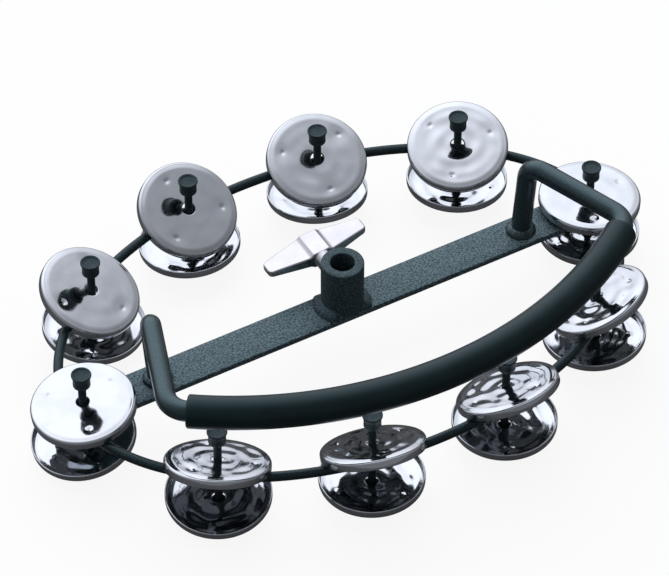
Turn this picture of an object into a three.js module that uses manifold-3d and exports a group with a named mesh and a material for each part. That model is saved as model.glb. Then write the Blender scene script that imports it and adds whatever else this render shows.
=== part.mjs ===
import * as THREE from 'three';
import { mergeVertices } from 'three/addons/utils/BufferGeometryUtils.js';
import Module from 'manifold-3d';

// Millimetres, +Z up. The origin is on the clamp bore's axis at the level of the feet.
// +X runs along the cross bar, -Y points to the front of the handle.

// Clearance between pieces that touch
const GAP = 0.3;

// Oval ring, measured to the rod's centreline
const RING_HALF_LENGTH = 139;
const RING_HALF_WIDTH = 93.5;
const RING_ROD_RADIUS = 2.3;

// Posts and their rubber caps
const POST_RADIUS = 1.9;
const CAP_RADIUS = 4.65;
const CAP_BODY_RADIUS = 4.05;
const CAP_MOUTH_RADIUS = 2.75;
const CAP_HEAD = 1;
const CAP_HEIGHT = 8;
const CAP_GRIP = 5.5;
const TOP_CAP_RISE = 16.8;
const BOTTOM_CAP_DROP = 19.2;

// Jingles: shallow lids with a hole for the post
const JINGLE_RADIUS = 24.5;
const JINGLE_HEIGHT = 4.8;
const JINGLE_WALL = 0.8;
const JINGLE_DOME = 0.5;
const JINGLE_SHOULDER = 1.5;
const JINGLE_HOLE_RADIUS = 3;

// How each pair lies, counter-clockwise from +X. A positive lean drops the side that
// faces the middle of the ring. A shift moves the post on along the oval from equal steps.
const PAIRS = [
  { name: 'a', shift: 0, upperLean: -3, lowerLean: -2 },
  { name: 'b', shift: 2.4, upperLean: 18, lowerLean: -5 },
  { name: 'c', shift: -0.6, upperLean: 23, lowerLean: -9 },
  { name: 'd', shift: -2, upperLean: 28, lowerLean: -5 },
  { name: 'e', shift: -3, upperLean: 24, lowerLean: 4 },
  { name: 'f', shift: 0, upperLean: -7, lowerLean: -10 },
  { name: 'g', shift: 2, upperLean: 24, lowerLean: -6 },
  { name: 'h', shift: 0.8, upperLean: 29, lowerLean: 2 },
  { name: 'i', shift: 0, upperLean: 28, lowerLean: 1 },
  { name: 'j', shift: 0, upperLean: 29, lowerLean: 3 },
];

// Flat cross bar, its top level with the ring rod's top
const BAR_WIDTH = 19;
const BAR_THICKNESS = 3.2;

// Clamp hub welded on the bar
const HUB_RADIUS = 10;
const HUB_BORE_RADIUS = 5.65;
const HUB_HEIGHT = 26;
const HUB_WELD_REACH = 4;
const HUB_WELD_HEIGHT = 3.5;

// Clamp screw with a wing head, its axis along Y
const SCREW_RADIUS = 3;
const SCREW_RISE = 13.7;
const SCREW_TIP_REACH = 1;
const SCREW_TIP_CHAMFER = 0.8;
const SCREW_GRIP = 14;
const WING_STANDOFF = 2.4;
const NECK_RADIUS = 4.4;
const NECK_LENGTH = 5.5;
const BOSS_RADIUS = 5;
const BOSS_LENGTH = 14.8;
const WING_HALF_SPAN = 26;
const WING_TIP_DEPTH = 8.6;
const WING_TIP_BACK = 3.5;
const WING_ROOT_THICKNESS = 7.6;
const WING_TIP_THICKNESS = 3.8;
const WING_TIP_ROUND = 3;
const WING_REST_TURN = THREE.MathUtils.degToRad(5.5);

// Bent handle rod, measured to its centreline
const HANDLE_ROD_RADIUS = 4.75;
const LEG_TO_JINGLE = 8.85;
const LEG_SPLAY = 3;
const HANDLE_RISE = 40.7;
const TOP_BEND_RADIUS = 8;
const ARM_FLARE = THREE.MathUtils.degToRad(20);
const CORNER_RADIUS = 11;
const FRONT_REACH = 95.2;
const FRONT_ARC_RADIUS = 191;
const LEG_WELD_REACH = 3;
const LEG_WELD_HEIGHT = 4;

// Sleeve on the handle's front arc
const SLEEVE_RADIUS = 7.6;

// Mesh fineness
const RING_STEPS = 72;
const RING_SIDES = 8;
const HANDLE_STEPS = 90;
const HANDLE_SIDES = 8;
const SLEEVE_STEPS = 24;
const SLEEVE_SIDES = 12;
const LID_SIDES = 18;
const CAP_SIDES = 12;
const POST_SIDES = 10;
const TURNED_SIDES = 24;
const BAR_END_STEPS = 60;
const WING_TIP_STEPS = 4;
const MERGE_TOLERANCE = 1e-4;

// Fineness of the search for the height at which a leaning jingle rests
const SEAT_STEP = 0.02;
const JINGLE_SAMPLES = 72;
const RING_SAMPLES = 720;

// Longer than the whole part, for cutting bodies
const FAR = 4 * RING_HALF_LENGTH;

// Heights measured from the ring rod's centreline
const ringHeight = BOTTOM_CAP_DROP + CAP_HEIGHT;
const barTop = RING_ROD_RADIUS;
const barBottom = barTop - BAR_THICKNESS;
const screwHeight = barTop + SCREW_RISE;
const handleHeight = barTop + HANDLE_RISE;

const metal = { metalness: 1, roughness: 0.15 };
const blackRod = new THREE.MeshStandardMaterial({ color: 0x16191b, roughness: 0.35, metalness: 0.3 });
const hammered = new THREE.MeshStandardMaterial({ color: 0x4a5256, roughness: 0.6, metalness: 0.4 });
const nickel = new THREE.MeshStandardMaterial({ color: 0xc9c9d4, ...metal });
const chrome = new THREE.MeshStandardMaterial({ color: 0xe8e8ee, ...metal });
const zincSteel = new THREE.MeshStandardMaterial({ color: 0xb4b6ba, roughness: 0.3, metalness: 1 });
const capRubber = new THREE.MeshStandardMaterial({ color: 0x1c2123, roughness: 0.7, metalness: 0 });
const sleeveRubber = new THREE.MeshStandardMaterial({ color: 0x18201f, roughness: 0.5, metalness: 0 });

const wasm = await Module();
wasm.setup();

// Turns a three.js geometry into a solid that can be cut and joined
function solid(geometry) {
  const bare = geometry.clone();
  bare.deleteAttribute('normal');
  bare.deleteAttribute('uv');
  const merged = mergeVertices(bare, MERGE_TOLERANCE);
  return new wasm.Manifold(new wasm.Mesh({
    numProp: 3,
    vertProperties: new Float32Array(merged.attributes.position.array),
    triVerts: new Uint32Array(merged.index.array),
  }));
}

// Turns a solid back into a three.js geometry
function shapeOf(body) {
  const mesh = body.getMesh();
  const geometry = new THREE.BufferGeometry();
  geometry.setAttribute('position', new THREE.BufferAttribute(mesh.vertProperties, 3));
  geometry.setIndex(new THREE.BufferAttribute(mesh.triVerts, 1));
  geometry.computeVertexNormals();
  return geometry;
}

// Spins an outline of [radius, height] pairs round Z
function turned(outline, sides) {
  const points = outline.map(([radius, height]) => new THREE.Vector2(radius, height));
  const geometry = new THREE.LatheGeometry(points, sides);
  return geometry.rotateX(Math.PI / 2);
}

// A bar along Z from one height to another
function rod(radius, low, high, sides) {
  return turned([[0, low], [radius, low], [radius, high], [0, high]], sides);
}

function box(width, depth, low, high) {
  const geometry = new THREE.BoxGeometry(width, depth, high - low);
  return geometry.translate(0, 0, (low + high) / 2);
}

// Lays a shape that stands along Z down along +Y at the screw's height
function alongScrew(geometry) {
  return geometry.rotateX(-Math.PI / 2).translate(0, 0, screwHeight);
}

// A point of the ring's centreline and the direction out of the ring there
function ringPoint(turn) {
  const place = new THREE.Vector2(RING_HALF_LENGTH * Math.cos(turn), RING_HALF_WIDTH * Math.sin(turn));
  const outward = new THREE.Vector2(Math.cos(turn) / RING_HALF_LENGTH, Math.sin(turn) / RING_HALF_WIDTH);
  return { place, outward: outward.normalize() };
}

// Ring rod: a torus moved out onto the oval
function ringRod() {
  const coreRadius = RING_HALF_WIDTH;
  const geometry = new THREE.TorusGeometry(coreRadius, RING_ROD_RADIUS, RING_SIDES, RING_STEPS);
  const spots = geometry.attributes.position;
  for (let i = 0; i < spots.count; i++) {
    const turn = Math.atan2(spots.getY(i), spots.getX(i));
    const offset = Math.hypot(spots.getX(i), spots.getY(i)) - coreRadius;
    const { place, outward } = ringPoint(turn);
    spots.setXY(i, place.x + outward.x * offset, place.y + outward.y * offset);
  }
  return geometry;
}

// Posts stand about equal steps apart along the oval, against the inside of the ring rod
const postInset = RING_ROD_RADIUS + GAP + POST_RADIUS;
const postLine = new THREE.EllipseCurve(0, 0, RING_HALF_LENGTH - postInset, RING_HALF_WIDTH - postInset);
const postPlaces = PAIRS.map(({ shift }, index) => {
  return postLine.getPointAt(index / PAIRS.length + shift / postLine.getLength());
});

function outwardAt(place) {
  return ringPoint(Math.atan2(place.y / RING_HALF_WIDTH, place.x / RING_HALF_LENGTH)).outward;
}

// Cross bar: ends follow the ring, with notches for the two posts there and the hub's bore
function crossBar() {
  const reach = RING_ROD_RADIUS + GAP;
  const inside = new THREE.Shape();
  inside.absellipse(0, 0, RING_HALF_LENGTH - reach, RING_HALF_WIDTH - reach, 0, 2 * Math.PI);
  const upright = { depth: FAR, bevelEnabled: false, curveSegments: BAR_END_STEPS };
  const disc = new THREE.ExtrudeGeometry(inside, upright);
  const slab = solid(box(FAR, BAR_WIDTH, barBottom, barTop));
  let bar = slab.intersect(solid(disc.translate(0, 0, -FAR / 2)));
  const notch = rod(POST_RADIUS + GAP, -FAR, FAR, CAP_SIDES);
  for (const place of postPlaces) {
    bar = bar.subtract(solid(notch.clone().translate(place.x, place.y, 0)));
  }
  bar = bar.subtract(solid(rod(HUB_BORE_RADIUS, -FAR, FAR, TURNED_SIDES)));
  return shapeOf(bar);
}

// Clamp hub: a tube with a weld skirt and a side hole for the clamp screw
function clampHub() {
  const base = barTop + GAP;
  const top = base + HUB_HEIGHT;
  const skirt = turned([
    [0, base],
    [HUB_RADIUS + HUB_WELD_REACH, base],
    [HUB_RADIUS, base + HUB_WELD_HEIGHT],
    [0, base + HUB_WELD_HEIGHT],
  ], TURNED_SIDES);
  const onBar = solid(skirt).intersect(solid(box(FAR, BAR_WIDTH, base, top)));
  const bore = solid(rod(HUB_BORE_RADIUS, -FAR, FAR, TURNED_SIDES));
  const hole = solid(alongScrew(rod(SCREW_RADIUS + GAP, 0, 2 * HUB_RADIUS, TURNED_SIDES)));
  const tube = solid(rod(HUB_RADIUS, base, top, TURNED_SIDES));
  return shapeOf(tube.add(onBar).subtract(bore).subtract(hole));
}

// Distances along Y from the bore's axis
const screwTip = HUB_BORE_RADIUS - SCREW_TIP_REACH;
const neckStart = HUB_RADIUS + WING_STANDOFF;
const bossStart = neckStart + NECK_LENGTH;
const bossEnd = bossStart + BOSS_LENGTH;
const screwEnd = neckStart + SCREW_GRIP;

function clampScrew() {
  return alongScrew(turned([
    [0, screwTip],
    [SCREW_RADIUS - SCREW_TIP_CHAMFER, screwTip],
    [SCREW_RADIUS, screwTip + SCREW_TIP_CHAMFER],
    [SCREW_RADIUS, screwEnd],
    [0, screwEnd],
  ], TURNED_SIDES));
}

// Outline of both wings from above, with round corners at the tips
function wingPlan() {
  const near = bossStart + WING_TIP_BACK;
  const far = near + WING_TIP_DEPTH;
  const half = new THREE.Path();
  half.moveTo(0, bossStart);
  half.lineTo(BOSS_RADIUS, bossStart);
  half.lineTo(WING_HALF_SPAN - WING_TIP_ROUND, near);
  half.quadraticCurveTo(WING_HALF_SPAN, near, WING_HALF_SPAN, near + WING_TIP_ROUND);
  half.lineTo(WING_HALF_SPAN, far - WING_TIP_ROUND);
  half.quadraticCurveTo(WING_HALF_SPAN, far, WING_HALF_SPAN - WING_TIP_ROUND, far);
  half.lineTo(BOSS_RADIUS, bossEnd);
  half.lineTo(0, bossEnd);
  const right = half.getPoints(WING_TIP_STEPS);
  const left = right.slice(1, -1).reverse().map(({ x, y }) => new THREE.Vector2(-x, y));
  return new THREE.Shape([...right, ...left]);
}

// Wing head: neck, boss and two wings that thin towards their tips, at rest turned a little
// about the screw, with the +X wing up
function wingHead() {
  const front = new THREE.Shape([
    new THREE.Vector2(0, -WING_ROOT_THICKNESS / 2),
    new THREE.Vector2(WING_HALF_SPAN, -WING_TIP_THICKNESS / 2),
    new THREE.Vector2(WING_HALF_SPAN, WING_TIP_THICKNESS / 2),
    new THREE.Vector2(0, WING_ROOT_THICKNESS / 2),
    new THREE.Vector2(-WING_HALF_SPAN, WING_TIP_THICKNESS / 2),
    new THREE.Vector2(-WING_HALF_SPAN, -WING_TIP_THICKNESS / 2),
  ]);
  const flat = new THREE.ExtrudeGeometry(wingPlan(), { depth: FAR, bevelEnabled: false });
  flat.translate(0, 0, screwHeight - FAR / 2);
  const wedge = new THREE.ExtrudeGeometry(front, { depth: FAR, bevelEnabled: false });
  wedge.rotateX(Math.PI / 2).translate(0, FAR / 2, screwHeight);
  const wings = solid(flat).intersect(solid(wedge));
  const boss = solid(alongScrew(rod(BOSS_RADIUS, bossStart, bossEnd, TURNED_SIDES)));
  const neck = solid(alongScrew(rod(NECK_RADIUS, neckStart, bossStart + GAP, TURNED_SIDES)));
  const socket = solid(alongScrew(rod(SCREW_RADIUS + GAP, 0, screwEnd + GAP, TURNED_SIDES)));
  const head = shapeOf(wings.add(boss).add(neck).subtract(socket));
  return head.translate(0, 0, -screwHeight).rotateY(-WING_REST_TURN).translate(0, 0, screwHeight);
}

// An arc that swings a start point round an axis through a centre
class Arc extends THREE.Curve {
  constructor(centre, start, axis, turn) {
    super();
    Object.assign(this, { centre, start, axis, turn });
  }

  getPoint(t, target = new THREE.Vector3()) {
    target.copy(this.start).sub(this.centre);
    return target.applyAxisAngle(this.axis, this.turn * t).add(this.centre);
  }

  mirrored() {
    const flip = new THREE.Vector3(-1, 1, 1);
    const end = this.getPoint(1).multiply(flip);
    const centre = this.centre.clone().multiply(flip);
    return new Arc(centre, end, this.axis.clone().multiply(flip), this.turn);
  }
}

const UP = new THREE.Vector3(0, 0, 1);

// The handle's route on the +X side, from the foot of the leg to the end of the corner
function handleSide() {
  const jingleEdge = postPlaces[0].x - JINGLE_RADIUS;
  const foot = new THREE.Vector3(jingleEdge - LEG_TO_JINGLE - HANDLE_ROD_RADIUS, 0, barTop);
  const top = new THREE.Vector3(foot.x + LEG_SPLAY, 0, handleHeight);
  const rise = top.clone().sub(foot).normalize();
  const forward = new THREE.Vector3(Math.sin(ARM_FLARE), -Math.cos(ARM_FLARE), 0);
  const inward = new THREE.Vector3(-Math.cos(ARM_FLARE), -Math.sin(ARM_FLARE), 0);

  const topTurn = rise.angleTo(forward);
  const topBack = TOP_BEND_RADIUS * Math.tan(topTurn / 2);
  const bendStart = top.clone().addScaledVector(rise, -topBack);
  const topAxis = rise.clone().cross(forward).normalize();
  const topCentre = topAxis.clone().cross(rise).multiplyScalar(TOP_BEND_RADIUS).add(bendStart);
  const topBend = new Arc(topCentre, bendStart, topAxis, topTurn);
  const armStart = topBend.getPoint(1);

  const arcCentre = new THREE.Vector3(0, FRONT_ARC_RADIUS - FRONT_REACH, handleHeight);
  const offset = top.clone().addScaledVector(inward, CORNER_RADIUS).sub(arcCentre);
  const reach = FRONT_ARC_RADIUS - CORNER_RADIUS;
  const along = offset.dot(forward);
  const ahead = -along + Math.sqrt(along ** 2 - offset.lengthSq() + reach ** 2);
  const cornerCentre = offset.clone().addScaledVector(forward, ahead).add(arcCentre);
  const armEnd = top.clone().addScaledVector(forward, ahead);
  const toArc = cornerCentre.clone().sub(arcCentre).normalize();
  const cornerTurn = inward.clone().negate().angleTo(toArc);
  const corner = new Arc(cornerCentre, armEnd, UP.clone().negate(), cornerTurn);
  const halfSweep = Math.atan2(toArc.x, -toArc.y);
  return { foot, bendStart, topBend, armStart, armEnd, corner, arcCentre, halfSweep };
}

const side = handleSide();
const flipX = (point) => new THREE.Vector3(-point.x, point.y, point.z);
const line = (from, to) => new THREE.LineCurve3(from, to);

// The front arc from the +X corner to the -X corner
function frontArc() {
  const start = side.corner.getPoint(1);
  return new Arc(side.arcCentre, start, UP.clone().negate(), 2 * side.halfSweep);
}

function circle(radius, sides) {
  const points = [];
  for (let i = 0; i < sides; i++) {
    const turn = (2 * Math.PI * i) / sides;
    points.push(new THREE.Vector2(radius * Math.cos(turn), radius * Math.sin(turn)));
  }
  return points;
}

// Handle rod: two legs, two arms and the front arc, bent from one rod, with weld skirts
function handleRod() {
  const path = new THREE.CurvePath();
  const { foot, bendStart, topBend, armStart, armEnd, corner } = side;
  const pieces = [
    line(foot, bendStart),
    topBend,
    line(armStart, armEnd),
    corner,
    frontArc(),
    corner.mirrored(),
    line(flipX(armEnd), flipX(armStart)),
    topBend.mirrored(),
    line(flipX(bendStart), flipX(foot)),
  ];
  pieces.forEach((piece) => path.add(piece));
  const section = new THREE.Shape(circle(HANDLE_ROD_RADIUS, HANDLE_SIDES));
  let body = solid(new THREE.ExtrudeGeometry(section, { steps: HANDLE_STEPS, extrudePath: path }));
  const skirt = turned([
    [0, barTop],
    [HANDLE_ROD_RADIUS + LEG_WELD_REACH, barTop],
    [HANDLE_ROD_RADIUS, barTop + LEG_WELD_HEIGHT],
    [0, barTop + LEG_WELD_HEIGHT],
  ], CAP_SIDES);
  for (const end of [foot, flipX(foot)]) {
    body = body.add(solid(skirt.clone().translate(end.x, end.y, 0)));
  }
  return shapeOf(body.subtract(solid(box(FAR, FAR, -FAR, barTop + GAP))));
}

// Sleeve: a tube on the front arc, bored for the rod
function handleSleeve() {
  const section = new THREE.Shape(circle(SLEEVE_RADIUS, SLEEVE_SIDES));
  const boreRadius = (HANDLE_ROD_RADIUS + GAP) / Math.cos(Math.PI / SLEEVE_SIDES);
  section.holes.push(new THREE.Path(circle(boreRadius, SLEEVE_SIDES)));
  return new THREE.ExtrudeGeometry(section, { steps: SLEEVE_STEPS, extrudePath: frontArc() });
}

// Post: it ends inside both caps
function post() {
  return rod(POST_RADIUS, GAP - BOTTOM_CAP_DROP - CAP_GRIP, TOP_CAP_RISE + CAP_GRIP - GAP, POST_SIDES);
}

// Cap with its mouth at zero and its closed end up, which has a thin wider head
function cap() {
  return turned([
    [0, CAP_GRIP],
    [POST_RADIUS + GAP, CAP_GRIP],
    [POST_RADIUS + GAP, 0],
    [CAP_MOUTH_RADIUS, 0],
    [CAP_BODY_RADIUS, CAP_BODY_RADIUS - CAP_MOUTH_RADIUS],
    [CAP_BODY_RADIUS, CAP_HEIGHT - CAP_HEAD],
    [CAP_RADIUS, CAP_HEIGHT - CAP_HEAD],
    [CAP_RADIUS, CAP_HEIGHT],
    [0, CAP_HEIGHT],
  ], CAP_SIDES);
}

// Jingle with its lip down, the top of its hole at zero
function jingle() {
  const bend = JINGLE_DOME + JINGLE_SHOULDER;
  return turned([
    [JINGLE_HOLE_RADIUS, -JINGLE_WALL],
    [JINGLE_RADIUS - JINGLE_SHOULDER, -JINGLE_DOME - JINGLE_WALL],
    [JINGLE_RADIUS - JINGLE_WALL, -bend],
    [JINGLE_RADIUS - JINGLE_WALL, -JINGLE_HEIGHT],
    [JINGLE_RADIUS, -JINGLE_HEIGHT],
    [JINGLE_RADIUS, -bend],
    [JINGLE_RADIUS - JINGLE_SHOULDER, -JINGLE_DOME],
    [JINGLE_HOLE_RADIUS, 0],
    [JINGLE_HOLE_RADIUS, -JINGLE_WALL],
  ], LID_SIDES);
}

// The clear distance from a point to the ring rod near a post, or down to the bar if it is over it
function gapBelow(point, nearRing) {
  let gap = Infinity;
  for (const spot of nearRing) {
    const flat = Math.hypot(point.x - spot.x, point.y - spot.y);
    gap = Math.min(gap, Math.hypot(flat, point.z) - RING_ROD_RADIUS);
  }
  const overBar = Math.abs(point.y) < BAR_WIDTH / 2 + GAP && Math.abs(point.x) < RING_HALF_LENGTH;
  return overBar ? Math.min(gap, point.z - barTop) : gap;
}

// The clear distance from a point to a bottom cap at a post
function gapToCap(point, place) {
  const radius = Math.hypot(point.x - place.x, point.y - place.y);
  const above = point.z + BOTTOM_CAP_DROP;
  return Math.max(radius - CAP_BODY_RADIUS, above, (radius - CAP_MOUTH_RADIUS + above) * Math.SQRT1_2);
}

// Points round a jingle's axis, from its own [radius, height] pairs
function roundPoints(pairs) {
  return pairs.flatMap(([radius, height]) => {
    return circle(radius, JINGLE_SAMPLES).map(({ x, y }) => new THREE.Vector3(x, y, height));
  });
}

// Lowers a leaning jingle from a start height until its points come within the gap
function restHeight(points, place, turn, start, clearance) {
  const leaning = points.map((point) => point.clone().applyQuaternion(turn));
  leaning.forEach((point) => point.add(new THREE.Vector3(place.x, place.y, 0)));
  let height = start;
  const spot = new THREE.Vector3();
  const clear = (level) => leaning.every((point) => {
    spot.set(point.x, point.y, point.z + level);
    return clearance(spot) >= GAP;
  });
  while (clear(height - SEAT_STEP)) height -= SEAT_STEP;
  return height;
}

// The turn that drops the inner side of a jingle by an angle
function leanTurn(place, degrees) {
  const outward = outwardAt(place);
  const tangent = new THREE.Vector3(-outward.y, outward.x, 0);
  return new THREE.Quaternion().setFromAxisAngle(tangent, THREE.MathUtils.degToRad(-degrees));
}

function upperSeat(place, lean) {
  const turn = leanTurn(place, lean);
  const nearRing = [];
  for (let i = 0; i < RING_SAMPLES; i++) {
    const spot = ringPoint((2 * Math.PI * i) / RING_SAMPLES).place;
    if (spot.distanceTo(place) < JINGLE_RADIUS + postInset) nearRing.push(spot);
  }
  const lip = roundPoints([
    [JINGLE_RADIUS, -JINGLE_HEIGHT],
    [JINGLE_RADIUS - JINGLE_WALL, -JINGLE_HEIGHT],
    [JINGLE_RADIUS - JINGLE_SHOULDER, -JINGLE_DOME - JINGLE_WALL],
  ]);
  const height = restHeight(lip, place, turn, TOP_CAP_RISE, (point) => gapBelow(point, nearRing));
  return { height, turn };
}

function lowerSeat(place, lean) {
  const overturn = new THREE.Quaternion().setFromAxisAngle(new THREE.Vector3(1, 0, 0), Math.PI);
  const turn = leanTurn(place, lean).multiply(overturn);
  const face = roundPoints([[JINGLE_HOLE_RADIUS, 0], [CAP_BODY_RADIUS, 0]]);
  const height = restHeight(face, place, turn, 0, (point) => gapToCap(point, place));
  return { height, turn };
}

const jingleRing = new THREE.Group();
const frame = new THREE.Group();
frame.position.z = ringHeight;
jingleRing.add(frame);

function addPiece(name, geometry, material) {
  const mesh = new THREE.Mesh(geometry, material);
  mesh.name = name;
  frame.add(mesh);
  return mesh;
}

addPiece('ring_rod', ringRod(), blackRod);
addPiece('cross_bar', crossBar(), hammered);
addPiece('clamp_hub', clampHub(), hammered);
addPiece('clamp_screw', clampScrew(), zincSteel);
addPiece('wing_head', wingHead(), chrome);
addPiece('handle_rod', handleRod(), blackRod);
addPiece('handle_sleeve', handleSleeve(), sleeveRubber);

const postShape = post();
const capShape = cap();
const jingleShape = jingle();

PAIRS.forEach(({ name, upperLean, lowerLean }, index) => {
  const place = postPlaces[index];
  addPiece(`post_${name}`, postShape, blackRod).position.set(place.x, place.y, 0);
  addPiece(`top_cap_${name}`, capShape, capRubber).position.set(place.x, place.y, TOP_CAP_RISE);
  const foot = addPiece(`bottom_cap_${name}`, capShape, capRubber);
  foot.position.set(place.x, place.y, -BOTTOM_CAP_DROP);
  foot.rotation.x = Math.PI;

  const upper = addPiece(`upper_jingle_${name}`, jingleShape, nickel);
  const upperRest = upperSeat(place, upperLean);
  upper.position.set(place.x, place.y, upperRest.height);
  upper.quaternion.copy(upperRest.turn);

  const lower = addPiece(`lower_jingle_${name}`, jingleShape, nickel);
  const lowerRest = lowerSeat(place, lowerLean);
  lower.position.set(place.x, place.y, lowerRest.height);
  lower.quaternion.copy(lowerRest.turn);
});

export default jingleRing;
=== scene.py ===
import bpy
import numpy as np
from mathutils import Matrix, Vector


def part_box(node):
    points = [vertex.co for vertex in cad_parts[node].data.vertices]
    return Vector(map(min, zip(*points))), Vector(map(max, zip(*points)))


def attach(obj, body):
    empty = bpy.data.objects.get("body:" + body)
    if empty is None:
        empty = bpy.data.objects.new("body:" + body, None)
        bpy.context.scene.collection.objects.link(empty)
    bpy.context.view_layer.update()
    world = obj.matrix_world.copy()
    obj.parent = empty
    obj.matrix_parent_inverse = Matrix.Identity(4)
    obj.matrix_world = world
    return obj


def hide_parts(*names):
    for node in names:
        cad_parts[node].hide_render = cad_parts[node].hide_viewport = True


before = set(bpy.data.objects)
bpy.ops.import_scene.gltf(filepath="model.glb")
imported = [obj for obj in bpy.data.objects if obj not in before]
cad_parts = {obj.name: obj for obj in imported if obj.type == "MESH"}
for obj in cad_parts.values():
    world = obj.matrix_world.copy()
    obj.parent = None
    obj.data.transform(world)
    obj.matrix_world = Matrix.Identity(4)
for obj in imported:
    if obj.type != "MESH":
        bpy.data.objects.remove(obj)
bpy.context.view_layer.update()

# Camera: 30 degrees to the left of the front and 45 degrees above the floor, through
# a long lens from two metres away, aimed at the middle of the ring.
LENS = 231.4
AIM = Vector((0.00282, 0.01216, 0.0272))
BACK = Vector((-0.3536, -0.6124, 0.7071)).normalized()
DISTANCE = 1.988

camera = bpy.data.objects.new("camera", bpy.data.cameras.new("camera"))
camera.data.lens = LENS
camera.data.sensor_fit = "HORIZONTAL"
camera.data.sensor_width = 36
camera.data.clip_end = 20
camera.location = AIM + BACK * DISTANCE
camera.rotation_mode = "QUATERNION"
camera.rotation_quaternion = (-BACK).to_track_quat("-Z", "Y")
bpy.context.scene.collection.objects.link(camera)
bpy.context.scene.camera = camera

# Studio: a plain white floor in a soft surround that is brightest high up behind the ring,
# where the level jingles mirror it, and dim in front. Two softboxes add the soft shadow.
FLOOR_HALF = 4000
FLOOR_COLOUR = (0.1, 0.1, 0.1)
FLOOR_GLOW = 0.9
FLOOR_MIRRORED = 0.02
BRIGHTEST = Vector((0.1, 0.75, 0.65)).normalized()
SURROUND = (
    (0.0, 0.22), (0.3, 0.3), (0.475, 0.45), (0.59, 0.52), (0.64, 0.72), (0.755, 0.98), (0.954, 1.6),
)
SURROUND_TINT = (0.965, 0.98, 1.06)


def face_list(*groups):
    return [face for group in groups for face in group.tolist()]


def closed_mesh(name, rows, close_rows=False):
    """A closed surface from a grid of points in millimetres: the point of row i and column j is
    joined to its neighbours, columns close round, and rows either close onto each other or end
    in a fan about the mean of the end row. Faces are turned outwards by the sign of the volume."""
    rows = np.asarray(rows, dtype=float) / 1000
    count, around = rows.shape[:2]
    index = np.arange(count * around).reshape(count, around)
    here = index if close_rows else index[:-1]
    there = np.roll(index, -1, 0) if close_rows else index[1:]
    quads = np.stack([here, np.roll(here, -1, 1), np.roll(there, -1, 1), there], -1).reshape(-1, 4)
    spots = rows.reshape(-1, 3)
    fans = np.zeros((0, 3), int)
    if not close_rows:
        ends = np.full(around, count * around)
        first = np.stack([np.roll(index[0], -1), index[0], ends], -1)
        last = np.stack([index[-1], np.roll(index[-1], -1), ends + 1], -1)
        fans = np.vstack([first, last])
        spots = np.vstack([spots, rows[0].mean(0), rows[-1].mean(0)])
    triangles = np.vstack([quads[:, [0, 1, 2]], quads[:, [0, 2, 3]], fans])
    a, b, c = (spots[triangles[:, k]] for k in range(3))
    if np.einsum("ij,ij->", a, np.cross(b, c)) < 0:
        quads, fans = quads[:, ::-1], fans[:, ::-1]
    mesh = bpy.data.meshes.new(name)
    mesh.from_pydata(spots.tolist(), [], face_list(quads, fans))
    mesh.polygons.foreach_set("use_smooth", np.ones(len(mesh.polygons), bool))
    mesh.set_sharp_from_angle(angle=np.radians(50))
    piece = bpy.data.objects.new(name, mesh)
    bpy.context.scene.collection.objects.link(piece)
    return piece


def new_material(name, colour, metallic, roughness):
    """A material whose Principled shader holds the values that are the same all over."""
    material = bpy.data.materials.new(name)
    material.use_nodes = True
    shader = material.node_tree.nodes["Principled BSDF"]
    shader.inputs["Base Color"].default_value = (*colour, 1)
    shader.inputs["Metallic"].default_value = metallic
    shader.inputs["Roughness"].default_value = roughness
    return material, material.node_tree.nodes, material.node_tree.links, shader


floor_mesh = bpy.data.meshes.new("floor")
corners = np.array([(-1, -1, 0), (1, -1, 0), (1, 1, 0), (-1, 1, 0)]) * FLOOR_HALF / 1000
floor_mesh.from_pydata(corners.tolist(), [], [(0, 1, 2, 3)])
floor = bpy.data.objects.new("floor", floor_mesh)
bpy.context.scene.collection.objects.link(floor)
floor_material, nodes, links, shader = new_material("floor_paper", FLOOR_COLOUR, 0, 0.9)
shader.inputs["Specular IOR Level"].default_value = 0.1
shader.inputs["Emission Color"].default_value = (1, 1, 1, 1)
seen_by = nodes.new("ShaderNodeLightPath")
mirrored = nodes.new("ShaderNodeMath")
mirrored.operation = "MAXIMUM"
links.new(seen_by.outputs["Is Glossy Ray"], mirrored.inputs[0])
links.new(seen_by.outputs["Is Transmission Ray"], mirrored.inputs[1])
mirrored_glow = nodes.new("ShaderNodeMath")
mirrored_glow.operation = "MULTIPLY"
mirrored_glow.inputs[1].default_value = FLOOR_MIRRORED
links.new(mirrored.outputs[0], mirrored_glow.inputs[0])
glow = nodes.new("ShaderNodeMath")
glow.operation = "MULTIPLY_ADD"
glow.inputs[1].default_value = FLOOR_GLOW
links.new(seen_by.outputs["Is Camera Ray"], glow.inputs[0])
links.new(mirrored_glow.outputs[0], glow.inputs[2])
links.new(glow.outputs[0], shader.inputs["Emission Strength"])
floor.data.materials.append(floor_material)

world = bpy.data.worlds.new("studio")
bpy.context.scene.world = world
world.use_nodes = True
nodes, links = world.node_tree.nodes, world.node_tree.links
direction = nodes.new("ShaderNodeTexCoord")
facing = nodes.new("ShaderNodeVectorMath")
facing.operation = "DOT_PRODUCT"
facing.inputs[1].default_value = BRIGHTEST
ramp = nodes.new("ShaderNodeValToRGB")
for position, _ in SURROUND[2:]:
    ramp.color_ramp.elements.new(position)
for stop, (position, level) in zip(ramp.color_ramp.elements, SURROUND):
    stop.position = position
    stop.color = (*[tint * level for tint in SURROUND_TINT], 1)
links.new(direction.outputs["Generated"], facing.inputs[0])
links.new(facing.outputs["Value"], ramp.inputs["Fac"])
links.new(ramp.outputs["Color"], nodes["Background"].inputs["Color"])
nodes["Background"].inputs["Strength"].default_value = 1


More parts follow.
